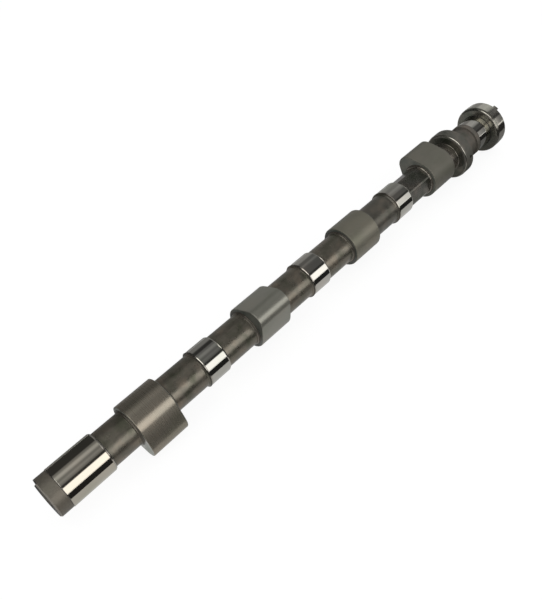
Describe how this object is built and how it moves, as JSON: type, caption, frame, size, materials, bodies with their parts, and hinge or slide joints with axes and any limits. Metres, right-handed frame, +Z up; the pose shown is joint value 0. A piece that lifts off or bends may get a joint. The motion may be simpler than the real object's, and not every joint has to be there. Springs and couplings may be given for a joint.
{
  "type": "camshaft",
  "caption": "One-piece overhead camshaft: wide tangent-arc lobes a quarter turn apart, plain bearing journals, a hexagon, a thrust flange and a rear flange with a drive tongue.",
  "frame": {"origin": "on the axis of rotation, at the front end face, where the bolt hole opens", "axes": "+X along the axis of rotation from the front end face to the rear flange; +Z up as the shaft lies on its flanges and on the noses of the first and third lobes; the fourth lobe's nose points halfway between +Y and +Z, the second's halfway between -Y and +Z"},
  "size_m": [0.4909, 0.0426, 0.0426],
  "materials": {
    "cast_iron": "dark grey-brown iron, satin on the lobes and flanges, ground and polished bright on the journals"
  },
  "bodies": {
    "root": {"camshaft": "cast_iron"}
  },
  "joints": []
}
